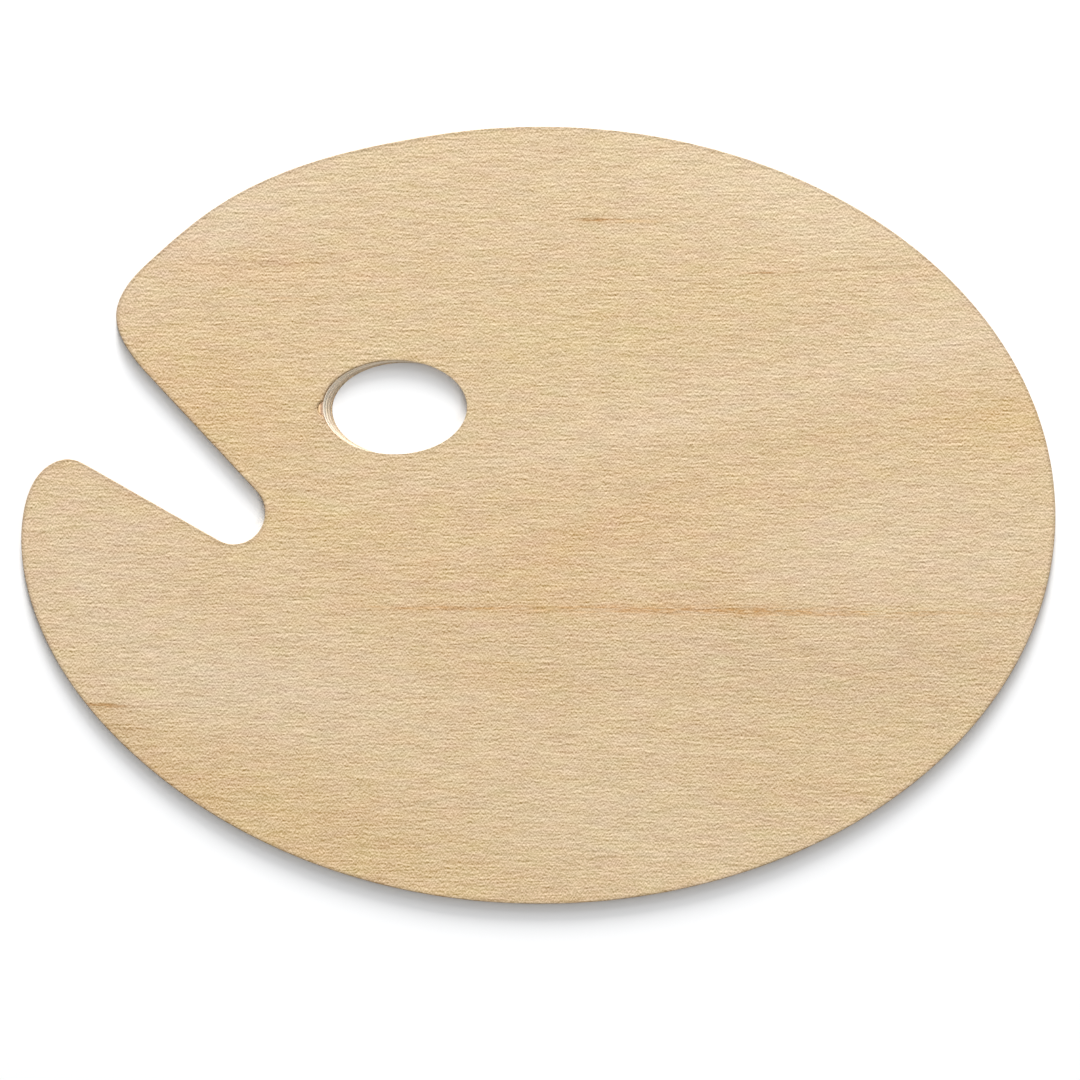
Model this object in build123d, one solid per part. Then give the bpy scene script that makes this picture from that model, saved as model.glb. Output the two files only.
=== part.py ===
from build123d import *
import os

# A painter's oval mixing palette, sawn from one sheet of five-ply plywood.
# It lies face up on the XY plane: the origin is on the underside, below the middle of its outline.
# +X runs along the long axis and along the grain of both veneers. The hand holds the -X end.
# All sizes are in millimetres.

# ---- Driving dimensions ----
LENGTH = 406.4  # 16 in, along the grain
WIDTH = 305.4  # 12 in nominal, across the grain

VENEER = 0.6  # each outside veneer, grain along X
CROSSBAND = 1.1  # each ply under a veneer, grain along Y
CORE = 1.0  # the middle ply, grain along X
GLUE = 0.1  # each film of cured glue
EASE = 0.4  # radius that sanding leaves on the long edges

# The oval is an ellipse. It stops at this angle above and below the +X axis, and freehand curves take over.
OVAL_SHIFT = 1.0
OVAL_LONG = LENGTH / 2 - OVAL_SHIFT
OVAL_SHORT = WIDTH / 2
OVAL_STOP = 102

# The notch for the brushes has a round end and two straight sides, which lean by these angles from +X.
NOTCH_END = Vector(-119.8, 1.0)
NOTCH_RADIUS = 12.4
UPPER_SIDE_ANGLE = 133.0
UPPER_SIDE = 62.0
LOWER_SIDE_ANGLE = 150.4
LOWER_SIDE = 57.0

# The shoulder above the notch, from the ellipse round to the notch's upper side.
SHOULDER = [
    (-88.0, 139.0),
    (-126.8, 121.0),
    (-152.0, 100.5),
    (-163.0, 88.0),
    (-165.9, 78.5),
    (-163.4, 68.9),
]
# The hook below the notch, from the notch's lower side round to the ellipse.
HOOK = [
    (-184.0, 22.0),
    (-193.8, 18.5),
    (-201.8, 3.6),
    (-202.5, -19.3),
    (-190.8, -54.4),
    (-158.5, -94.5),
    (-118.4, -123.0),
]

# The thumb hole is an oval that leans, so that its left wall shows from above.
THUMB_MIDDLE = (-56.7, 42.5)
THUMB_LONG = 28.6
THUMB_SHORT = 18.5
THUMB_LEAN = (4.2, -0.9)  # how far across the hole has moved where it meets the underside

# A chip in the face veneer at the left end of the rim, where the cutter left across the grain.
CHIP_MIDDLE = (-83.6, 41.9)
CHIP_TOP_RADIUS = 3.6
CHIP_FLOOR_RADIUS = 2.9

# ---- Height of each layer's lower side, from the underside up ----
BACK_GLUE_FLOOR = VENEER
LOWER_CROSSBAND_FLOOR = BACK_GLUE_FLOOR + GLUE
LOWER_CORE_GLUE_FLOOR = LOWER_CROSSBAND_FLOOR + CROSSBAND
CORE_FLOOR = LOWER_CORE_GLUE_FLOOR + GLUE
UPPER_CORE_GLUE_FLOOR = CORE_FLOOR + CORE
UPPER_CROSSBAND_FLOOR = UPPER_CORE_GLUE_FLOOR + GLUE
FACE_GLUE_FLOOR = UPPER_CROSSBAND_FLOOR + CROSSBAND
FACE_FLOOR = FACE_GLUE_FLOOR + GLUE
THICKNESS = FACE_FLOOR + VENEER
OVERCUT = 1.0  # how far a cutter runs past the faces


def outline():
    """The sawn outline: ellipse, shoulder, tapering notch and hook, as one flat face."""
    oval = EllipticalCenterArc((OVAL_SHIFT, 0), OVAL_LONG, OVAL_SHORT, -OVAL_STOP, arc_size=2 * OVAL_STOP)
    upper_way = Vector(1, 0).rotate(Axis.Z, UPPER_SIDE_ANGLE)
    lower_way = Vector(1, 0).rotate(Axis.Z, LOWER_SIDE_ANGLE)
    upper_root = NOTCH_END + upper_way.rotate(Axis.Z, -90) * NOTCH_RADIUS
    lower_root = NOTCH_END + lower_way.rotate(Axis.Z, 90) * NOTCH_RADIUS
    upper_mouth = upper_root + upper_way * UPPER_SIDE
    lower_mouth = lower_root + lower_way * LOWER_SIDE
    shoulder_tangents = [oval % 1, -upper_way]
    hook_tangents = [lower_way, oval % 0]
    edges = [
        oval,
        Spline(oval @ 1, *SHOULDER, upper_mouth, tangents=shoulder_tangents, tangent_scalars=[1, 1]),
        Line(upper_mouth, upper_root),
        RadiusArc(upper_root, lower_root, NOTCH_RADIUS),
        Line(lower_root, lower_mouth),
        Spline(lower_mouth, *HOOK, oval @ 0, tangents=hook_tangents, tangent_scalars=[1, 1]),
    ]
    return make_face(Wire(edges))


def thumb_hole():
    """The leaning oval cutter for the thumb hole, which runs past both faces."""
    lean = Vector(*THUMB_LEAN, -THICKNESS)
    top = Vector(*THUMB_MIDDLE, THICKNESS) - lean * (OVERCUT / THICKNESS)
    depth = lean.length * (1 + 2 * OVERCUT / THICKNESS)
    return extrude(Pos(*top) * Ellipse(THUMB_LONG, THUMB_SHORT), depth, dir=lean)


def rim_chip():
    """The shallow cutter for the chip, which stops at the glue under the face veneer."""
    return Pos(*CHIP_MIDDLE, FACE_FLOOR + VENEER / 2) * Cone(CHIP_FLOOR_RADIUS, CHIP_TOP_RADIUS, VENEER)


def layer(floor, height):
    """One layer of the sheet, sawn to the outline and pierced by the thumb hole."""
    blank = Pos(0, 0, floor) * extrude(outline(), height)
    return blank - thumb_hole()


def ease_outline(solid, end):
    """Rounds the long edge of a layer's lowest (0) or highest (-1) face, but not the thumb hole's rim."""
    face = solid.faces().sort_by(Axis.Z)[end]
    return fillet(face.outer_wire().edges(), EASE)


def face_veneer():
    """The veneer that carries the paint. Its long edge is eased and its thumb rim chipped."""
    return ease_outline(layer(FACE_FLOOR, VENEER), -1) - rim_chip()


def face_glue_line():
    """The glue under the face veneer."""
    return layer(FACE_GLUE_FLOOR, GLUE)


def upper_crossband():
    """The ply under the face veneer, laid across it to keep the sheet flat."""
    return layer(UPPER_CROSSBAND_FLOOR, CROSSBAND)


def upper_core_glue_line():
    """The glue on top of the core."""
    return layer(UPPER_CORE_GLUE_FLOOR, GLUE)


def core_ply():
    """The middle ply, laid along the palette."""
    return layer(CORE_FLOOR, CORE)


def lower_core_glue_line():
    """The glue under the core."""
    return layer(LOWER_CORE_GLUE_FLOOR, GLUE)


def lower_crossband():
    """The ply above the back veneer, laid across it."""
    return layer(LOWER_CROSSBAND_FLOOR, CROSSBAND)


def back_glue_line():
    """The glue on top of the back veneer."""
    return layer(BACK_GLUE_FLOOR, GLUE)


def back_veneer():
    """The veneer that rests on the forearm or the table. Its long edge is eased."""
    return ease_outline(layer(0, VENEER), 0)


PIECES = [
    face_veneer,
    face_glue_line,
    upper_crossband,
    upper_core_glue_line,
    core_ply,
    lower_core_glue_line,
    lower_crossband,
    back_glue_line,
    back_veneer,
]

os.makedirs("parts", exist_ok=True)
for piece in PIECES:
    export_step(piece(), f"parts/{piece.__name__}.step")
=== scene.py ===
# %% [markdown]
# # A painter's oval mixing palette, from five plies
#
# A mixing palette is a thin sheet that a painter holds on the forearm, with the thumb through an oval hole
# and spare brushes in the notch. This one is plywood: two outside veneers, two crossbands and a core, with a
# film of glue between each pair. The lesson builds each of those nine layers as its own closed solid and
# gives it the wood or the glue that shows on its face, its edge and the wall of the thumb hole.
#
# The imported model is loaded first. It says where each layer lies, so no place is guessed here.

# %% Load the frame
import math

import bpy
import numpy as np
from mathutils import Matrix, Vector
from mathutils.geometry import delaunay_2d_cdt


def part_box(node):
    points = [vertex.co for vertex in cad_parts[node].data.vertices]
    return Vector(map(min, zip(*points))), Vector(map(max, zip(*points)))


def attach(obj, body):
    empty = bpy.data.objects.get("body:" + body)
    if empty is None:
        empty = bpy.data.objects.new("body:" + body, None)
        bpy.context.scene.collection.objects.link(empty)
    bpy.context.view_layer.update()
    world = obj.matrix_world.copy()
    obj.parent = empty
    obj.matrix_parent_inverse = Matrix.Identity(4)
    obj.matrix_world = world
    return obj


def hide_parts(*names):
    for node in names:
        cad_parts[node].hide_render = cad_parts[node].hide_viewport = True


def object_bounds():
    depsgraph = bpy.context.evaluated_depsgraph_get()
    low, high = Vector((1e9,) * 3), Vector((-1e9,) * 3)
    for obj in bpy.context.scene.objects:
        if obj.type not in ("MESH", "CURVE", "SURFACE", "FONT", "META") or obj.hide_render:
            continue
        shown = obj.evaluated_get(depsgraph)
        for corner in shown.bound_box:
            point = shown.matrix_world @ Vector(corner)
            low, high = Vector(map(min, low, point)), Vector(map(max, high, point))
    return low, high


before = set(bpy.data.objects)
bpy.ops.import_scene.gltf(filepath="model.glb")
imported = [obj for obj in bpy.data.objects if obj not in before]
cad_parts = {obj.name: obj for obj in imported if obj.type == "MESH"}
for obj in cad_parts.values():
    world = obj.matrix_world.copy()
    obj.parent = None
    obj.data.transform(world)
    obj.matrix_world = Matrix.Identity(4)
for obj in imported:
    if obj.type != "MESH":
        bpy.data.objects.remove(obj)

MM = 0.001
cad_box = [list(corner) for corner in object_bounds()]
print("packed box in mm:", np.round(np.array(cad_box) / MM, 2).tolist())
print("layers:", sorted(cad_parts))

# %% [markdown]
# ## The lines of the saw and the cutter
#
# A packed layer is a mesh of loose triangles. The saw's line is the closed loop round its flat side, and the
# cutter's line is the loop round the thumb hole. A loop's edge is one that no neighbouring triangle of the
# flat side runs along the other way. Each loop is kept as complex numbers, x + iy, because turning and
# offsetting a flat curve is then plain multiplication and addition.


# %% Read the loops of a layer
DECIMALS = 7  # corners that agree so far are one
LEVEL_SLACK = 1e-6


def flat_loops(node, side):
    """The loops round a layer's flat top (side 1) or underside (side 0), longest first, anticlockwise."""
    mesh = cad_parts[node].data
    corners = np.empty(len(mesh.vertices) * 3, np.float32)
    mesh.vertices.foreach_get("co", corners)
    mesh.calc_loop_triangles()
    triangles = np.empty(len(mesh.loop_triangles) * 3, np.int32)
    mesh.loop_triangles.foreach_get("vertices", triangles)
    rounded = np.round(corners.reshape(-1, 3).astype(float), DECIMALS)
    points, merged = np.unique(rounded, axis=0, return_inverse=True)
    triangles = merged.ravel()[triangles.reshape(-1, 3)]
    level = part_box(node)[side].z
    flat = triangles[(abs(points[triangles][:, :, 2] - level) < LEVEL_SLACK).all(1)]
    tail, head = flat.ravel(), flat[:, [1, 2, 0]].ravel()
    lone = ~np.isin(tail * len(points) + head, head * len(points) + tail)
    onward = dict(zip(tail[lone].tolist(), head[lone].tolist()))
    loops = []
    while onward:
        chain = [next(iter(onward))]
        while chain[-1] in onward:
            chain.append(onward.pop(chain[-1]))
        loop = points[chain[:-1], 0] + 1j * points[chain[:-1], 1]
        swept = (loop.conj() * np.roll(loop, -1)).imag.sum()
        loops.append(loop if swept > 0 else loop[::-1])
    return sorted(loops, key=lambda loop: -abs(np.diff(loop)).sum())


saw_corners, cutter_corners = flat_loops("core_ply", 1)
print("corners on the saw's line:", len(saw_corners), "and on the cutter's:", len(cutter_corners))

# %% [markdown]
# ## Straight facets back to a sanded curve
#
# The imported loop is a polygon, and sandpaper leaves no corners. Each side becomes a cubic whose ends point
# along the circle through three neighbouring corners. Where a long straight side meets short ones, as at the
# sides of the notch, the curve keeps the straight side's direction. The cubic is then divided evenly.

# %% Smooth a loop and space it evenly
SIDE_SAMPLES = 16
LONG_SIDE = 3.0  # times its neighbour
SAW_PITCH = 1.0 * MM


def sanded(loop, pitch):
    """The loop as a smooth closed curve with points about pitch apart.

    A cubic Hermite span joins corner a to corner b: a(1+2t)(1-t)^2 + b(3-2t)t^2 + t(1-t)(A(1-t) - Bt),
    where A and B are the end directions times the chord."""
    ahead = np.roll(loop, -1) - loop
    back = np.roll(ahead, 1)
    heading = ahead / abs(ahead) * abs(back) + back / abs(back) * abs(ahead)
    heading = np.where(abs(ahead) > LONG_SIDE * abs(back), ahead, heading)
    heading = np.where(abs(back) > LONG_SIDE * abs(ahead), back, heading)
    heading /= abs(heading)
    t = np.arange(SIDE_SAMPLES) / SIDE_SAMPLES
    start, chord, leave = loop[:, None], abs(ahead)[:, None], heading[:, None]
    end, arrive = np.roll(loop, -1)[:, None], np.roll(heading, -1)[:, None]
    ends = start * (1 + 2 * t) * (1 - t) ** 2 + end * (3 - 2 * t) * t**2
    curve = (ends + chord * t * (1 - t) * (leave * (1 - t) - arrive * t)).ravel()
    closed = np.append(curve, curve[0])
    travelled = np.append(0, np.cumsum(abs(np.diff(closed))))
    count = round(travelled[-1] / pitch)
    return np.interp(np.arange(count) * travelled[-1] / count, travelled, closed)


def inward(loop):
    """The unit direction from each point of an anticlockwise loop to the wood inside it."""
    along = np.roll(loop, -1) - np.roll(loop, 1)
    return 1j * along / abs(along)


saw_line = sanded(saw_corners, SAW_PITCH)
saw_inward = inward(saw_line)
saw_length = abs(np.diff(saw_line, append=saw_line[0])).sum()
print(f"saw's line: {len(saw_line)} points over {saw_length / MM:.1f} mm")

# %% [markdown]
# The thumb hole is best read as a radius over an angle, because every layer's hole then has the same number
# of points at the same angles, and the leaning wall runs straight down from one to the next. The chip in the
# face veneer is only a place where that radius grows.

# %% Read the thumb hole as a radius over an angle
HOLE_POINTS = 720
HOLE_PITCH = 0.15 * MM
hole_angles = np.arange(HOLE_POINTS) * 2 * np.pi / HOLE_POINTS
hole_rays = np.exp(1j * hole_angles)
hole_middle = cutter_corners.mean()


def hole_line(node, side):
    """The hole's edge on one flat side of a layer, as hole_middle + radius(angle) e^(i angle)."""
    spokes = sanded(flat_loops(node, side)[-1], HOLE_PITCH) - hole_middle
    radius = np.interp(hole_angles, np.angle(spokes) % (2 * np.pi), abs(spokes), period=2 * np.pi)
    return hole_middle + radius * hole_rays


face_hole = hole_line("face_veneer", 1)
widest = abs(face_hole - hole_middle).max()
print("hole's middle in mm:", np.round(hole_middle / MM, 1), "widest radius:", round(widest / MM, 1))

# %% [markdown]
# ## A flat side with a hole in it
#
# The face of a layer has a free outline and a hole, so no plain grid fits it. A square grid of points is
# kept where it lies inside, and Delaunay's rule joins the grid to both lines with well-shaped triangles. The
# rule also fills the notch and the hole, and those triangles are dropped again by counting crossings: a
# point is in the wood if a line drawn from it to the right crosses the outline an odd number of times.


# %% Triangulate a flat side
EDGE_GAP = 0.6  # of a grid's pitch, from the grid to either line
WELD = 1e-9


def in_wood(spots, lines):
    """True for each spot from which a line to the right crosses the closed lines an odd number of times."""
    crossings = np.zeros(len(spots), int)
    for line in lines:
        a, b = line, np.roll(line, -1)
        spans = (a.imag > spots.imag[:, None]) != (b.imag > spots.imag[:, None])
        rise = np.where(b.imag == a.imag, 1, b.imag - a.imag)
        meets = a.real + (spots.imag[:, None] - a.imag) / rise * (b.real - a.real)
        crossings += (spans & (meets > spots.real[:, None])).sum(1)
    return crossings % 2 == 1


def grid_in_wood(outer, hole, pitch):
    """The spots of a square grid that lie inside outer and outside hole, a little clear of both."""
    kept_outer = outer + inward(outer) * EDGE_GAP * pitch
    kept_hole = hole - inward(hole) * EDGE_GAP * pitch
    columns = np.arange(outer.real.min(), outer.real.max(), pitch)
    rows = np.arange(outer.imag.min(), outer.imag.max(), pitch)
    spots = [columns[in_wood(columns + 1j * row, [kept_outer, kept_hole])] + 1j * row for row in rows]
    return np.concatenate(spots)


def ring_links(first, count):
    """Pairs of neighbours round a closed line whose points are numbered from first."""
    ring = first + np.arange(count)
    return np.column_stack([ring, np.roll(ring, -1)]).tolist()


def flat_side(outer, hole, pitch=None):
    """Points (outer, hole, then any grid) and anticlockwise triangles that cover the wood between them."""
    grid = grid_in_wood(outer, hole, pitch) if pitch else np.empty(0, complex)
    spots = np.concatenate([outer, hole, grid])
    links = ring_links(0, len(outer)) + ring_links(len(outer), len(hole))
    flat = list(map(Vector, np.column_stack([spots.real, spots.imag]).tolist()))
    triangles = np.array(delaunay_2d_cdt(flat, links, [], 0, WELD)[2])
    doubtful = (triangles < len(outer) + len(hole)).all(1)
    doubtful[doubtful] = ~in_wood(spots[triangles[doubtful]].mean(1), [outer, hole])
    triangles = triangles[~doubtful]
    a, b, c = spots[triangles.T]
    swept = ((b - a).conj() * (c - a)).imag
    triangles = np.where(swept[:, None] > 0, triangles, triangles[:, ::-1])
    return spots, triangles[abs(swept) > 0]


core_spots, core_triangles = flat_side(saw_line, hole_line("core_ply", 1))
a, b, c = core_spots[core_triangles.T]
print(f"core's flat side: {((b - a).conj() * (c - a)).imag.sum() / 2 / MM**2:.0f} square mm")

# %% [markdown]
# ## One layer of the sheet
#
# A layer is two walls and two flat sides. Each wall is a short profile carried along a closed line: the outer
# wall goes up the saw's line and may roll over an eased edge, and the hole's wall goes down the cutter's
# line. Every row of a wall has the same number of points, so rows join as quads. The flat sides use the first
# and last rows as they are, so the layer closes with no seam.


# %% Join walls and flat sides into a solid
def wall_quads(rows, points, start, facing):
    """Quads between the rows of a closed wall. They face outwards (1) or into the hole (-1)."""
    r, i = np.meshgrid(np.arange(rows - 1), np.arange(points), indexing="ij")
    j = (i + 1) % points
    quads = np.stack([r * points + i, r * points + j, (r + 1) * points + j, (r + 1) * points + i], -1)
    return start + quads.reshape(-1, 4)[:, ::facing]


def solid(name, outer_rows, hole_rows, top_pitch=None, bottom_pitch=None):
    """A closed layer from two walls, each a list of (line, height) rows that run from the underside up."""
    walls = [outer_rows, hole_rows]
    counts = [len(rows[0][0]) for rows in walls]
    starts = [0, len(outer_rows) * counts[0]]
    corners = [np.stack([line.real, line.imag, np.broadcast_to(height, line.shape)], -1)
               for rows in walls for line, height in rows]
    faces, smooth = [], []
    for rows, count, start, facing in zip(walls, counts, starts, (1, -1)):
        quads = wall_quads(len(rows), count, start, facing)
        faces += quads.tolist()
        smooth += [True] * len(quads)
    for row, pitch, facing in ((-1, top_pitch, 1), (0, bottom_pitch, -1)):
        spots, triangles = flat_side(outer_rows[row][0], hole_rows[row][0], pitch)
        places = [start + np.arange(count) + (len(rows) - 1 if row else 0) * count
                  for start, count, rows in zip(starts, counts, walls)]
        inside = spots[sum(counts):]
        known = sum(len(block) for block in corners)
        height = np.mean(outer_rows[row][1])
        corners.append(np.stack([inside.real, inside.imag, np.full(len(inside), height)], -1))
        places = np.concatenate(places + [known + np.arange(len(inside))])
        faces += places[triangles][:, ::facing].tolist()
        smooth += [False] * len(triangles)
    mesh = bpy.data.meshes.new(name)
    mesh.from_pydata(np.concatenate(corners).tolist(), [], faces)
    mesh.polygons.foreach_set("use_smooth", smooth)
    mesh.update()
    piece = bpy.data.objects.new(name, mesh)
    bpy.context.scene.collection.objects.link(piece)
    print(f"{name}: {len(mesh.vertices)} points, {len(mesh.polygons)} faces")
    return piece


# %% [markdown]
# ## Walls with the marks of the saw
#
# A bandsaw leaves a faint ripple that sanding never quite removes, and resin is softer than wood under the
# paper, so each glue line lies a few hundredths of a millimetre deeper than the plies beside it. The veneers
# also have their long edge eased: the profile leaves the wall, rolls over a quarter circle and runs a little
# way in over the flat, so that the shading turns exactly at the edge.


# %% Profiles of the walls
RIPPLE = 0.02 * MM
EASE = 0.4 * MM
EASE_STEPS = 7
RIM_EASE = 0.12 * MM
RIM_STEPS = 4
FLAT_ROWS = (0.3 * MM, 1.1 * MM)
GLUE_RECESS = 0.05 * MM

saw_run = np.arange(len(saw_line)) / len(saw_line) * 2 * np.pi
saw_wave = np.sin(97 * saw_run) + np.sin(61 * saw_run + 2.0) * np.sin(5 * saw_run)
saw_ripple = RIPPLE * (1 + 0.5 * saw_wave)
ease_wave = 0.6 * np.sin(7 * saw_run + 1.0) + 0.4 * np.sin(23 * saw_run)


def saw_at(inset):
    """The saw's line moved inwards by inset, a number or one value for each point."""
    return saw_line + saw_inward * inset


def straight_rows(low, high, inset):
    """Two rows of a plain wall from height low to height high."""
    return [(saw_at(inset), low), (saw_at(inset), high)]


def eased_rows(low, high, inset):
    """A wall that goes up from low and rolls over to the flat at high.

    At angle a of the quarter circle, the row lies in by e(1 - cos a) and down by e(1 - sin a)."""
    ease = EASE * (1 + 0.2 * ease_wave)
    rows = [(saw_at(inset), low)]
    for turn in np.linspace(0, np.pi / 2, EASE_STEPS):
        rows.append((saw_at(inset + ease * (1 - math.cos(turn))), high - ease * (1 - math.sin(turn))))
    return rows + [(saw_at(inset + ease + extra), high) for extra in FLAT_ROWS]


def hole_rows(node, eased):
    """The hole's wall through one layer, with a faint rounding at the top if it is eased."""
    (_, _, low), (_, _, high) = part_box(node)
    under, over = hole_line(node, 0), hole_line(node, 1)
    if not eased:
        return [(under, low), (over, high)]
    rows = [(under, low)]
    for turn in np.linspace(0, np.pi / 2, RIM_STEPS):
        drop = RIM_EASE * (1 - math.sin(turn))
        lean = (over - under) * (1 - drop / (high - low))
        rows.append((under + lean + hole_rays * RIM_EASE * (1 - math.cos(turn)), high - drop))
    return rows + [(over + hole_rays * (RIM_EASE + extra), high) for extra in FLAT_ROWS]


# %% [markdown]
# ## The nine layers
#
# From the top: the face veneer that carries the paint, glue, a crossband whose grain runs across, glue, the
# core, glue, the second crossband, glue, and the back veneer. The back veneer is the face's rows turned over:
# its heights are mirrored and its rows reversed, so that its eased edge is at the bottom.


# %% Make the layers
FACE_PITCH = 2.0 * MM
BACK_PITCH = 4.0 * MM


def finish_layer(piece, node):
    """The piece moves with the palette and stands for its packed layer, which is hidden."""
    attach(piece, "root")
    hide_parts(node)
    return piece


def make_layer(name, node, recess):
    """An inner layer with a plain sawn wall."""
    (_, _, low), (_, _, high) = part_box(node)
    rows = straight_rows(low, high, recess + saw_ripple)
    return finish_layer(solid(name, rows, hole_rows(node, False)), node)


def make_face():
    """The face veneer, eased at its long edge and at the rim of the hole."""
    (_, _, low), (_, _, high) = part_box("face_veneer")
    rows = eased_rows(low, high, saw_ripple)
    piece = solid("face_veneer_sheet", rows, hole_rows("face_veneer", True), top_pitch=FACE_PITCH)
    return finish_layer(piece, "face_veneer")


def make_back():
    """The back veneer: the face's outer profile turned over, with a plain hole."""
    (_, _, low), (_, _, high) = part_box("back_veneer")
    rows = eased_rows(low, high, saw_ripple)
    turned = [(line, low + high - height) for line, height in rows[::-1]]
    piece = solid("back_veneer_sheet", turned, hole_rows("back_veneer", False), bottom_pitch=BACK_PITCH)
    return finish_layer(piece, "back_veneer")


face = make_face()
upper_crossband = make_layer("upper_crossband_ply", "upper_crossband", 0)
core = make_layer("core_ply_sheet", "core_ply", 0)
lower_crossband = make_layer("lower_crossband_ply", "lower_crossband", 0)
back = make_back()
GLUE_FILMS = {
    "face_glue_film": "face_glue_line",
    "upper_core_glue_film": "upper_core_glue_line",
    "lower_core_glue_film": "lower_core_glue_line",
    "back_glue_film": "back_glue_line",
}
films = [make_layer(name, node, GLUE_RECESS) for name, node in GLUE_FILMS.items()]

# %% [markdown]
# ## The figure of the face
#
# A veneer is peeled from a log, and the knife crosses the growth rings at a low angle. The rings then show
# as nested arches that open along the board: every point whose x - ((y - y0) / k)^2 is the same lies on one
# ring. Round the arches lie broad cloudy patches, some pale and some brown. Both are worked out for each
# point of the mesh and kept in a colour attribute, as a factor near one for red, green and blue. The back
# takes half of the patches, mirrored end for end, and wider arches, as another sheet off the log would.

# %% Work out the figure
TONE = np.array([221.0, 195.5, 158.0])  # the veneer's mean tone, in display levels
ARCH_AXIS = -27.0 * MM
ARCH_SPREAD = 5.1 * math.sqrt(MM)
ARCH_SHIFT = (-0.6, -1.0, -1.4)
BACK_MOVED = (30 * MM, 12 * MM, 0)
BACK_ARCH_AXIS = 40 * MM
BACK_ARCH_SPREAD = 6.5 * math.sqrt(MM)
BACK_ARCH_SHIFT = (-1.2, -2.0, -2.8)
BACK_CLOUDS = 0.7

# Middle x and y, half length and half width in mm, tilt in degrees, then the shift of red, green and blue.
CLOUDS = [
    (16, 140, 190, 32, 0, 2, 3, 4),
    (108, 118, 75, 22, -28, 4, 6, 9),
    (-130, 112, 60, 17, 32, 2, 4, 9),
    (-128, 98, 62, 7, -2, 1, -3, -5),
    (-128, 44, 42, 30, -20, -1, -5, -10),
    (-14, 65, 60, 18, 10, 0, 1, -1),
    (42, 80, 62, 15, 12, 0, 0, -3),
    (50, 38, 95, 11, 14, 3, 4, 7),
    (118, 33, 90, 8, 9, -2, -3, -4),
    (184, 37, 28, 12, 8, 0, -3, -9),
    (162, 69, 40, 12, 10, 3, 5, 8),
    (135, 94, 60, 7, 2, 0, -2, -3),
    (8, -12, 78, 26, 6, -1, -4, -6),
    (60, 2, 62, 9, 16, 0, -2, -3),
    (22, -34, 110, 12, 0, -1, -3, -4),
    (140, -16, 62, 24, 4, 2, 4, 8),
    (-90, -3, 40, 10, 0, 0, -1, -6),
    (-176, -18, 40, 28, 0, 1, 2, 6),
    (-118, -66, 62, 20, -8, 1, 4, 9),
    (105, -58, 125, 17, -2, -4, -4, -2),
    (-12, -62, 30, 7, -6, -1, -4, -7),
    (95, -108, 40, 8, -2, -2, -4, -5),
    (130, -88, 70, 26, 0, -2, -2, -3),
    (-165, -90, 34, 14, -38, -4, -6, -6),
    (-92, -124, 110, 24, -18, -4, -7, -12),
    (30, -120, 60, 26, 0, 0, 2, 4),
]


def arches(place, axis, spread):
    """Nested bands: cosines of the ring coordinate x - ((y - axis) / spread)^2, with a slow wander."""
    x, y = place[:, 0], place[:, 1]
    y = y + 2.2 * MM * np.sin(x / (31 * MM) + 1.0) + 1.1 * MM * np.sin(x / (11.7 * MM) + y / (40 * MM))
    ring = x - ((y - axis) / spread) ** 2
    return np.cos(ring / (11 * MM)) + 0.6 * np.cos(ring / (6.3 * MM) + 1.0) + 0.4 * np.cos(ring / (3.7 * MM))


def clouds(place, patches):
    """The sum of soft patches. Each is its colour shift times e^(-d^2), where d is one at its half size."""
    flat = (place[:, 0] + 1j * place[:, 1]) / MM
    total = np.zeros((len(place), 3))
    for x, y, half_length, half_width, tilt, *shift in patches:
        off = (flat - x - 1j * y) * np.exp(-1j * math.radians(tilt))
        total += np.exp(-((off.real / half_length) ** 2) - (off.imag / half_width) ** 2)[:, None] * shift
    return total


def keep_colour(piece, name, factor):
    """Stores one colour factor for each point of the piece."""
    layer = piece.data.attributes.new(name, "FLOAT_COLOR", "POINT")
    opaque = np.column_stack([factor, np.ones(len(factor))])
    layer.data.foreach_set("color", opaque.astype(np.float32).ravel())


def places_of(piece):
    """The points of a piece as rows of x, y and z."""
    place = np.empty(len(piece.data.vertices) * 3, np.float32)
    piece.data.vertices.foreach_get("co", place)
    return place.reshape(-1, 3).astype(float)


def as_factor(shift):
    """A shift in display levels as a factor on linear light, whose exponent is close to 2.2."""
    return (1 + shift / TONE) ** 2.2


face_place = places_of(face)
shift = clouds(face_place, CLOUDS)
shift += arches(face_place, ARCH_AXIS, ARCH_SPREAD)[:, None] * ARCH_SHIFT
keep_colour(face, "figure", as_factor(shift))
print("figure, display levels from", shift.min(0).round(1), "to", shift.max(0).round(1))

back_place = places_of(back) * (-1, 1, 1) + BACK_MOVED
back_shift = clouds(back_place, CLOUDS[::2]) * BACK_CLOUDS
back_shift += arches(back_place, BACK_ARCH_AXIS, BACK_ARCH_SPREAD)[:, None] * BACK_ARCH_SHIFT
keep_colour(back, "figure", as_factor(back_shift))

# %% [markdown]
# ## Handled edges, with painted shade
#
# Hands and paint rags darken the long edge a little, and the grey darkening over the eased edge is also
# painted shade, where the edge rolls away from the light. A second attribute holds how near each point of the
# face is to its edge: one on the eased edge, falling to nothing at the second flat row. The rim of the thumb
# hole is marked more faintly.

# %% Mark the edge of the face
EDGE_ROWS = [1.0] * (1 + EASE_STEPS) + [0.75, 0.0]
RIM_ROWS = [0.2, 0.3, 0.5, 0.7, 0.8, 0.45, 0.0]

walls = np.concatenate([np.repeat(EDGE_ROWS, len(saw_line)), np.repeat(RIM_ROWS, HOLE_POINTS)])
nearness = np.zeros(len(face_place))
nearness[: len(walls)] = walls
face.data.attributes.new("edge", "FLOAT", "POINT").data.foreach_set("value", nearness.astype(np.float32))
print("points on the edge:", int((nearness > 0).sum()))

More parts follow.
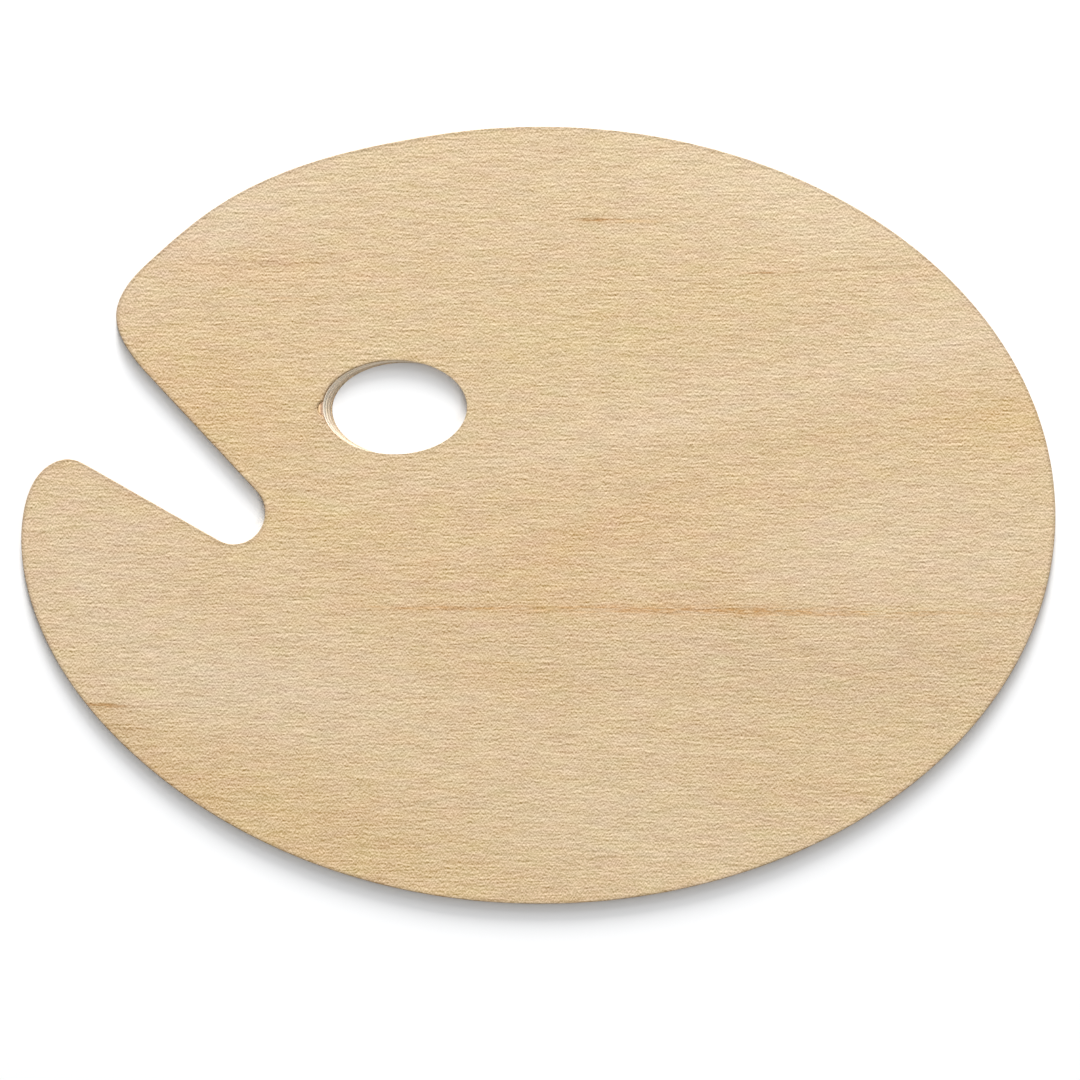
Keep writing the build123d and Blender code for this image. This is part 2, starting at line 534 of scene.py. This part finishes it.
# %% [markdown]
# ## Wiring a finish
#
# A finish is a small net of shader nodes. A few helpers keep it short: they add a node and link or set its
# inputs, do a step of arithmetic, mix two colours and make stretched noise. Noise stretched along the fibres
# is the basis of bare wood, because a fibre is hundreds of times longer than it is wide.


# %% Helpers for shader nodes
FIBRE_GAP = 0.8 * MM  # from a fibre to the gap beside it
FIBRE_CUT = 0.22  # how much darker the gap is
GLOSS = 0.0  # bare wood and thin glue scatter light and hardly mirror it


def add(tree, kind, inputs=None, **settings):
    """Adds a node. An input given as a socket is linked, and a number or colour is set on the socket."""
    made = tree.nodes.new("ShaderNode" + kind)
    for name, value in settings.items():
        setattr(made, name, value)
    for key, value in (inputs or {}).items():
        if isinstance(value, bpy.types.NodeSocket):
            tree.links.new(value, made.inputs[key])
        else:
            made.inputs[key].default_value = value
    return made


def reckon(tree, operation, *terms):
    """One step of arithmetic on sockets or numbers."""
    return add(tree, "Math", dict(enumerate(terms)), operation=operation).outputs[0]


def mixed(tree, kind, factor, first, second):
    """Mixes two colours in the way that kind names."""
    made = add(tree, "Mix", {0: factor, 6: first, 7: second}, data_type="RGBA", blend_type=kind)
    return made.outputs[2]


def fibres(tree, place, size, detail=0.0, shift=0.0):
    """Noise in cells of the given size in mm along x, y and z. Its value is near 0.5 on average."""
    scale = tuple(1 / (length * MM) for length in size)
    moved_by = (shift, shift * 0.7, shift * 1.3)
    moved = add(tree, "Mapping", {"Vector": place, "Location": moved_by, "Scale": scale})
    grain = add(tree, "TexNoise", {"Vector": moved.outputs[0], "Scale": 1.0, "Detail": detail})
    return grain.outputs["Fac"]


def centred(tree, grain, amount):
    """(grain - 0.5) times amount."""
    return reckon(tree, "MULTIPLY_ADD", grain, amount, -0.5 * amount)


def raised(tree, place, along, length, width, amount, shift=0.0):
    """Crisp fibres: noise less a share of the same noise a little way across on either side."""
    size = (length, width, width) if along == 0 else (width, length, width)
    middle = fibres(tree, place, size, 1.0, shift)
    sides = []
    for side in (-FIBRE_GAP, FIBRE_GAP):
        across = add(tree, "CombineXYZ", {1 - along: side}).outputs[0]
        beside = add(tree, "VectorMath", {0: place, 1: across}, operation="ADD").outputs[0]
        sides.append(fibres(tree, beside, size, 1.0, shift))
    both = reckon(tree, "MULTIPLY", reckon(tree, "ADD", *sides), -FIBRE_CUT * amount)
    light = reckon(tree, "MULTIPLY_ADD", middle, amount, both)
    return reckon(tree, "ADD", light, (FIBRE_CUT - 0.5) * amount), middle


def bench(name, rough):
    """A new material with its shader, and the place on the object that its patterns read."""
    material = bpy.data.materials.new(name)
    material.use_nodes = True
    tree = material.node_tree
    shader = tree.nodes["Principled BSDF"]
    shader.inputs["Specular IOR Level"].default_value = GLOSS
    shader.inputs["Roughness"].default_value = rough
    place = add(tree, "TexCoord").outputs["Object"]
    return material, tree, shader, place


# %% [markdown]
# ## Bare sanded wood
#
# Four things make up the wood. Its tone is one pale colour. Short dashes under a millimetre long are cut
# vessels, and longer faint lines are bundles of fibres. Broad soft bands are growth. Where a wall cuts
# across the fibres, their open ends drink in light and dust, so end grain is darker: the nearer the surface's
# normal is to the fibres, the more of the end tone shows. The same dashes lift the surface by a few
# thousandths of a millimetre, as sanding lines do, and a ply is a little darker where glue has soaked in.


# %% The wood finish
# Sizes in mm along and across the fibres.
DASH = (0.75, 0.35)
BUNDLE = (7.0, 0.38)
BAND = (60, 4.5)
PATCH = (13, 5)
SWAY_CELL = (45, 9)
SWAY = 0.6 * MM
MOTTLE = 0.045  # how far a patch strays in red, green or blue
GRAIN_TINT = (1.0, 0.87, 0.68)
SOAK = 0.16 * MM
SOAK_TINT = (0.72, 0.6, 0.5, 1)
SCUFF = 0.16


def soaked(tree, colour, heights):
    """Darkens the wood near each height in mm, most at the height itself."""
    z = add(tree, "SeparateXYZ", {0: add(tree, "TexCoord").outputs["Object"]}).outputs["Z"]
    for height in heights:
        off = reckon(tree, "ABSOLUTE", reckon(tree, "SUBTRACT", z, height * MM))
        near = add(tree, "MapRange", {"Value": off, "From Max": SOAK, "To Min": 1.0, "To Max": 0.0})
        colour = mixed(tree, "MULTIPLY", near.outputs[0], colour, SOAK_TINT)
    return colour


def wood(name, tone, along, dash, streak, band, end_tone, rough, lift, figure=None, glued=()):
    """Bare wood with its fibres along x (0) or y (1). Strengths are parts of white light."""
    material, tree, shader, place = bench(name, rough)

    def cells(length, width):
        """The size of a cell that is long along the fibres."""
        return (length, width, width) if along == 0 else (width, length, width)

    sway = centred(tree, fibres(tree, place, cells(*SWAY_CELL)), SWAY)
    bend = add(tree, "CombineXYZ", {1 - along: sway}).outputs[0]
    place = add(tree, "VectorMath", {0: place, 1: bend}, operation="ADD").outputs[0]
    dash_light, dashes = raised(tree, place, along, *DASH, dash)
    bundle_light, bundles = raised(tree, place, along, *BUNDLE, streak, 3.0)
    bands = fibres(tree, place, cells(*BAND), 2.0, 7.0)
    light = reckon(tree, "ADD", dash_light, bundle_light)
    light = reckon(tree, "ADD", light, centred(tree, bands, band))
    patch_scale = tuple(1 / (size * MM) for size in cells(*PATCH))
    patches = add(tree, "Mapping", {"Vector": place, "Scale": patch_scale}).outputs[0]
    mottle = add(tree, "TexNoise", {"Vector": patches, "Scale": 1.0, "Detail": 1.0}).outputs["Color"]
    colour = (*tone, 1)
    if figure:
        held = add(tree, "Attribute", attribute_name=figure).outputs["Color"]
        colour = mixed(tree, "MULTIPLY", 1.0, colour, held)
    normal = add(tree, "TexCoord").outputs["Normal"]
    fibre = (1.0, 0.0, 0.0) if along == 0 else (0.0, 1.0, 0.0)
    facing = add(tree, "VectorMath", {0: normal, 1: fibre}, operation="DOT_PRODUCT").outputs["Value"]
    cut = reckon(tree, "POWER", reckon(tree, "ABSOLUTE", facing), 2.0)
    colour = mixed(tree, "MULTIPLY", cut, colour, (*end_tone, 1))
    colour = soaked(tree, colour, glued)
    stray = {0: mottle, 1: (MOTTLE,) * 3, 2: (-MOTTLE / 2,) * 3}
    mottle = add(tree, "VectorMath", stray, operation="MULTIPLY_ADD").outputs[0]
    colour = add(tree, "VectorMath", {0: colour, 1: mottle}, operation="ADD").outputs[0]
    lit = {0: light, 1: GRAIN_TINT, 2: colour}
    grain = add(tree, "VectorMath", lit, operation="MULTIPLY_ADD").outputs[0]
    tree.links.new(grain, shader.inputs["Base Color"])
    height = reckon(tree, "MULTIPLY_ADD", bundles, 0.6, dashes)
    bump = add(tree, "Bump", {"Strength": 1.0, "Distance": lift * MM, "Height": height})
    tree.links.new(bump.outputs[0], shader.inputs["Normal"])
    scuffed = reckon(tree, "MULTIPLY_ADD", bundles, SCUFF, rough - SCUFF / 2)
    tree.links.new(scuffed, shader.inputs["Roughness"])
    return material, tree, shader, place, grain


FACE_GLUE_FLOOR, FACE_GLUE_TOP = (corner.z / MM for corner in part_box("face_glue_line"))
FACE_TONE = (0.619, 0.465, 0.288)
BACK_TONE = (0.585, 0.435, 0.275)
VENEER_END = (0.90, 0.84, 0.76)
PLY_END = (0.90, 0.86, 0.80)
CREAM = (0.88, 0.78, 0.64)
PALE_CREAM = (0.86, 0.75, 0.60)
TAN = (0.70, 0.57, 0.42)

VENEER = {"along": 0, "end_tone": VENEER_END, "figure": "figure"}
PLY = {"dash": 0.5, "streak": 0.3, "band": 0.08, "end_tone": PLY_END, "rough": 0.7, "lift": 0.02}
face_wood = wood("face_veneer_wood", FACE_TONE, dash=0.96, streak=0.51, band=0.05, rough=0.62, lift=0.003,
                 glued=[FACE_GLUE_TOP], **VENEER)
back_wood = wood("back_veneer_wood", BACK_TONE, dash=0.85, streak=0.50, band=0.10, rough=0.66, lift=0.006,
                 **VENEER)
upper_wood = wood("upper_crossband_wood", CREAM, along=1, glued=[FACE_GLUE_FLOOR], **PLY)
core_wood = wood("core_ply_wood", PALE_CREAM, along=0, **PLY)
lower_wood = wood("lower_crossband_wood", TAN, along=1, **PLY)
print("wood finishes:", [made[0].name for made in (face_wood, back_wood, upper_wood, core_wood, lower_wood)])

# %% [markdown]
# ## Mineral streaks in the face
#
# A few thin marks make this veneer its own: one long rust-coloured line below the middle, short dashes near
# the top and left, and a few grey ones. Each is a spherical gradient that a Mapping node has squeezed
# into a needle, which is one at its middle and nothing at its tip, broken up by long noise. It stains the
# wood by multiplying its colour.

# %% Lay the streaks into the face veneer
RUST = (0.70, 0.55, 0.40, 1)
AMBER = (0.86, 0.72, 0.54, 1)
HONEY = (0.95, 0.87, 0.76, 1)
GREY = (0.78, 0.72, 0.68, 1)
HANDLING_AND_EDGE_SHADE = (0.78, 0.77, 0.78, 1)
STREAK_GAIN = 2.4
NEEDLE_DEPTH = 10 * MM

# Middle x and y, half length and half width in mm, tilt in degrees, colour and strength.
STREAKS = [
    (95, -37.8, 120, 2.8, -0.7, AMBER, 0.5),
    (-25, -36.4, 75, 1.4, 0.0, AMBER, 0.5),
    (60, -37.2, 150, 4.4, -0.5, HONEY, 0.45),
    (24, 116.2, 12, 1.1, -1.0, RUST, 0.7),
    (32, 115.6, 26, 1.2, 0.0, HONEY, 0.6),
    (92, 95.0, 15, 1.0, 0.0, RUST, 0.9),
    (118, 96.5, 40, 1.1, 3.0, GREY, 0.9),
    (-171, -74.5, 13, 1.3, -2.0, RUST, 0.95),
    (-163, -84.0, 10, 2.4, -20.0, GREY, 0.5),
    (-106, 85.5, 20, 0.8, -3.0, HONEY, 0.7),
    (-112, 99.0, 46, 1.6, 0.0, GREY, 0.45),
    (-5, -58.0, 22, 0.7, 0.0, HONEY, 0.6),
    (-60, -13.0, 30, 0.6, 1.0, HONEY, 0.5),
    (150, 12.0, 34, 0.6, 2.0, GREY, 0.4),
    (60, -85.0, 40, 0.7, -1.0, GREY, 0.35),
]

material, tree, shader, place, grain = face_wood
broken = fibres(tree, place, (16, 1.2, 5), 1.0, 11.0)
broken = add(tree, "MapRange", {"Value": broken, "From Min": 0.34, "From Max": 0.56}).outputs[0]
dotted = fibres(tree, place, (3.2, 0.45, 3), 1.0, 17.0)
dotted = add(tree, "MapRange", {"Value": dotted, "From Min": 0.38, "From Max": 0.6, "To Min": 0.3})
broken = reckon(tree, "MULTIPLY", broken, dotted.outputs[0])
colour = grain
for x, y, half_length, half_width, tilt, stain, strength in STREAKS:
    needle = add(tree, "Mapping", {
        "Vector": place,
        "Location": (x * MM, y * MM, cad_box[1][2]),
        "Rotation": (0, 0, math.radians(tilt)),
        "Scale": (half_length * MM, half_width * MM, NEEDLE_DEPTH),
    }, vector_type="TEXTURE")
    inside = add(tree, "TexGradient", {"Vector": needle.outputs[0]}, gradient_type="SPHERICAL").outputs["Fac"]
    amount = reckon(tree, "MULTIPLY", reckon(tree, "MULTIPLY", inside, strength * STREAK_GAIN), broken)
    amount = reckon(tree, "MINIMUM", amount, 1.0)
    colour = mixed(tree, "MULTIPLY", amount, colour, stain)
# Grey darkening of the eased edge and the hole's rim: handling, and painted shade where the edge rolls away.
near_edge = add(tree, "Attribute", attribute_name="edge").outputs["Fac"]
colour = mixed(tree, "MULTIPLY", near_edge, colour, HANDLING_AND_EDGE_SHADE)
tree.links.new(colour, shader.inputs["Base Color"])
print(len(STREAKS), "streaks in", material.name)

# %% [markdown]
# ## Cured glue, with painted shadow in the chip
#
# The resin is a dark amber line at every edge. Where the veneer has chipped off at the thumb hole, the top of
# the film shows flat, with torn fibres still stuck to it, so the flat is lighter and streaked along x, and
# the walls stay dark. The two tones are chosen by how far the surface faces up. Across the chip the flat also
# takes a ramp of tones along x, whose dark back is painted shadow cast by the chip's wall. The deeper glue
# lines cured paler, so they hardly part the crossbands from the core.

# %% The glue finish
CHIP_BACK = face_hole.real.min()
CHIP_SPAN = 2.4 * MM
TORN_CELL = (3.0, 0.35, 1.0)  # mm
TORN_SHADES = (0.78, 0.74, 0.70, 1), (1.0, 1.0, 1.0, 1)
TORN_LIFT = 0.05 * MM
BEAD_CELL = (0.8, 0.8, 0.4)  # mm
LINE_TONES = (0.22, 0.115, 0.065, 1), (0.42, 0.25, 0.15, 1)
DEEP_TONES = (0.52, 0.42, 0.32, 1), (0.72, 0.61, 0.49, 1)
PALE_BELOW = 3.5 * MM
DARK_ABOVE = 4.0 * MM

# From the back of the chip to the rim: a part of CHIP_SPAN and the tone there. The dark first tones are
# painted shadow of the chip's back wall.
CHIP_TONES_AND_SHADOW = [
    (0.0, (0.36, 0.19, 0.07, 1)),
    (0.24, (0.50, 0.29, 0.12, 1)),
    (0.42, (0.95, 0.72, 0.42, 1)),
    (0.62, (0.90, 0.62, 0.40, 1)),
    (0.76, (0.46, 0.28, 0.17, 1)),
    (1.0, (0.66, 0.48, 0.34, 1)),
]
glue, tree, shader, place = bench("amber_glue", 0.5)
torn = fibres(tree, place, TORN_CELL, 2.0)
torn = add(tree, "MapRange", {"Value": torn, "From Min": 0.35, "From Max": 0.65}).outputs[0]
torn_tone = mixed(tree, "MIX", torn, *TORN_SHADES)
beads = fibres(tree, place, BEAD_CELL, 1.0, 5.0)
line_tone = mixed(tree, "MIX", beads, *LINE_TONES)
deep_tone = mixed(tree, "MIX", beads, *DEEP_TONES)
spot = add(tree, "SeparateXYZ", {0: place})
rise = {"Value": spot.outputs["Z"], "From Min": PALE_BELOW, "From Max": DARK_ABOVE}
under_face = add(tree, "MapRange", rise).outputs[0]
line_tone = mixed(tree, "MIX", under_face, deep_tone, line_tone)
span = {"Value": spot.outputs["X"], "From Min": CHIP_BACK, "From Max": CHIP_BACK + CHIP_SPAN}
across_chip = add(tree, "MapRange", span).outputs[0]
ramp = add(tree, "ValToRGB", {0: across_chip})
ramp.color_ramp.elements[0].color = CHIP_TONES_AND_SHADOW[0][1]
ramp.color_ramp.elements[1].position, ramp.color_ramp.elements[1].color = CHIP_TONES_AND_SHADOW[-1]
for stop, tone in CHIP_TONES_AND_SHADOW[1:-1]:
    ramp.color_ramp.elements.new(stop).color = tone
# The chip's flat: torn fibres times the ramp, whose dark back is painted shadow of the chip's wall.
chip_flat_and_shadow = mixed(tree, "MULTIPLY", 1.0, torn_tone, ramp.outputs["Color"])
up = add(tree, "SeparateXYZ", {0: add(tree, "TexCoord").outputs["Normal"]}).outputs["Z"]
up = add(tree, "MapRange", {"Value": up, "From Min": 0.8, "From Max": 0.95}).outputs[0]
tree.links.new(mixed(tree, "MIX", up, line_tone, chip_flat_and_shadow), shader.inputs["Base Color"])
bump = add(tree, "Bump", {"Strength": 1.0, "Distance": TORN_LIFT, "Height": torn})
tree.links.new(bump.outputs[0], shader.inputs["Normal"])

for piece, made in (
    (face, face_wood[0]),
    (upper_crossband, upper_wood[0]),
    (core, core_wood[0]),
    (lower_crossband, lower_wood[0]),
    (back, back_wood[0]),
    *((film, glue) for film in films),
):
    piece.data.materials.append(made)
    print(piece.name, "is", made.name)

# %% [markdown]
# ## The floor
#
# The palette lies on a pale table that fades into a pale room. A large disc, worked out as radius times the
# cosine and sine of the angle, is enough, with a matte finish that is a touch uneven so that it still looks
# like a real surface. Far from the palette the table glows evenly, as a lit studio sweep does, so its
# horizon never shows.

# %% Floor
FLOOR_RADIUS = 30.0
FLOOR_SIDES = 64
FLOOR_DROP = 0.02 * MM
PAINT = (0.9, 0.9, 0.9)
GLOW_STARTS = 0.32
GLOW_IS_FULL = 1.0
GLOW = 1.02

turns = np.arange(FLOOR_SIDES) * 2 * np.pi / FLOOR_SIDES
rim = FLOOR_RADIUS * np.stack([np.cos(turns), np.sin(turns), np.zeros(FLOOR_SIDES)], -1)
rim[:, 2] = -FLOOR_DROP
floor_mesh = bpy.data.meshes.new("floor")
floor_mesh.from_pydata(rim.tolist(), [], [list(range(FLOOR_SIDES))])
floor = bpy.data.objects.new("floor", floor_mesh)
bpy.context.scene.collection.objects.link(floor)
floor_paint, tree, shader, place = bench("floor_paint", 0.8)
uneven = centred(tree, fibres(tree, place, (400, 400, 400)), 0.02)
white = add(tree, "VectorMath", {0: uneven, 1: PAINT}, operation="ADD").outputs[0]
tree.links.new(white, shader.inputs["Base Color"])
reach = add(tree, "VectorMath", {0: place}, operation="LENGTH").outputs["Value"]
distances = {"Value": reach, "From Min": GLOW_STARTS, "From Max": GLOW_IS_FULL}
far = add(tree, "MapRange", distances, interpolation_type="SMOOTHSTEP")
glow = add(tree, "Emission", {"Color": (1.0, 1.0, 1.0, 1), "Strength": GLOW})
both = add(tree, "MixShader", {0: far.outputs[0], 1: shader.outputs[0], 2: glow.outputs[0]})
tree.links.new(both.outputs[0], tree.nodes["Material Output"].inputs["Surface"])
floor_mesh.materials.append(floor_paint)
print("floor radius in m:", FLOOR_RADIUS)

# %% [markdown]
# ## Light
#
# A soft shadow that fades evenly comes from a tall source. Three soft boxes hang one above the other on the
# +Y side, the lowest the strongest, so that the sheet's thickness throws a short shadow towards -Y that is
# darkest at the edge. A small one on the -Y side lights the wall of the thumb hole. The room adds a little
# from everywhere, and it shows as a pale backdrop.


# %% Soft boxes and room
# Name, elevation and azimuth in degrees, distance, width and height in metres, and power in watts.
SOFT_BOXES = [
    ("low_soft_box", 26, 90, 5.0, 1.2, 1.91, 268),
    ("middle_soft_box", 47, 90, 5.0, 1.0, 1.76, 76),
    ("high_soft_box", 72.5, 90, 5.0, 1.0, 2.77, 42),
    ("side_soft_box", 50, -58, 4.0, 0.9, 0.9, 24),
]
ROOM = (0.236, 0.243, 0.252, 1)
BACKDROP = (1.02, 1.02, 1.02, 1)


def soft_box(name, elevation, azimuth, distance, width, height, power):
    """A rectangular area light that faces the palette from the given direction."""
    lamp = bpy.data.lights.new(name, "AREA")
    lamp.shape, lamp.size, lamp.size_y, lamp.energy = "RECTANGLE", width, height, power
    holder = bpy.data.objects.new(name, lamp)
    up, round_z = math.radians(elevation), math.radians(azimuth)
    away = Vector((math.cos(up) * math.cos(round_z), math.cos(up) * math.sin(round_z), math.sin(up)))
    holder.location = away * distance
    holder.rotation_euler = (-away).to_track_quat("-Z", "Y").to_euler()
    holder.visible_camera = False
    bpy.context.scene.collection.objects.link(holder)
    print(f"{name}: {power} W at {elevation} degrees up")


for settings in SOFT_BOXES:
    soft_box(*settings)

room = bpy.data.worlds.new("room")
bpy.context.scene.world = room
room.use_nodes = True
tree = room.node_tree
tree.nodes.clear()
seen = add(tree, "LightPath").outputs["Is Camera Ray"]
air = mixed(tree, "MIX", seen, ROOM, BACKDROP)
backdrop = add(tree, "Background", {"Color": air, "Strength": 1.0})
add(tree, "OutputWorld", {"Surface": backdrop.outputs[0]})

# %% [markdown]
# ## Camera
#
# The camera looks straight down from well above with a long lens, so that the oval keeps its true shape. It
# stands a little towards -Y of the palette's middle, which leaves more room above the object than below.

# %% Camera
LENS = 200.0
SENSOR = 36.0
VIEW_WIDTH = 424.3 * MM
VIEW_MIDDLE = (0.67 * MM, -9.72 * MM)
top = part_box("face_veneer")[1].z
camera = bpy.data.objects.new("camera", bpy.data.cameras.new("camera"))
camera.data.lens, camera.data.sensor_width = LENS, SENSOR
camera.data.clip_end = 100
camera.location = (*VIEW_MIDDLE, top + VIEW_WIDTH * LENS / SENSOR)
bpy.context.scene.collection.objects.link(camera)
bpy.context.scene.camera = camera
bpy.context.scene.view_settings.view_transform = "Standard"
print("camera height in m:", round(camera.location.z, 3))
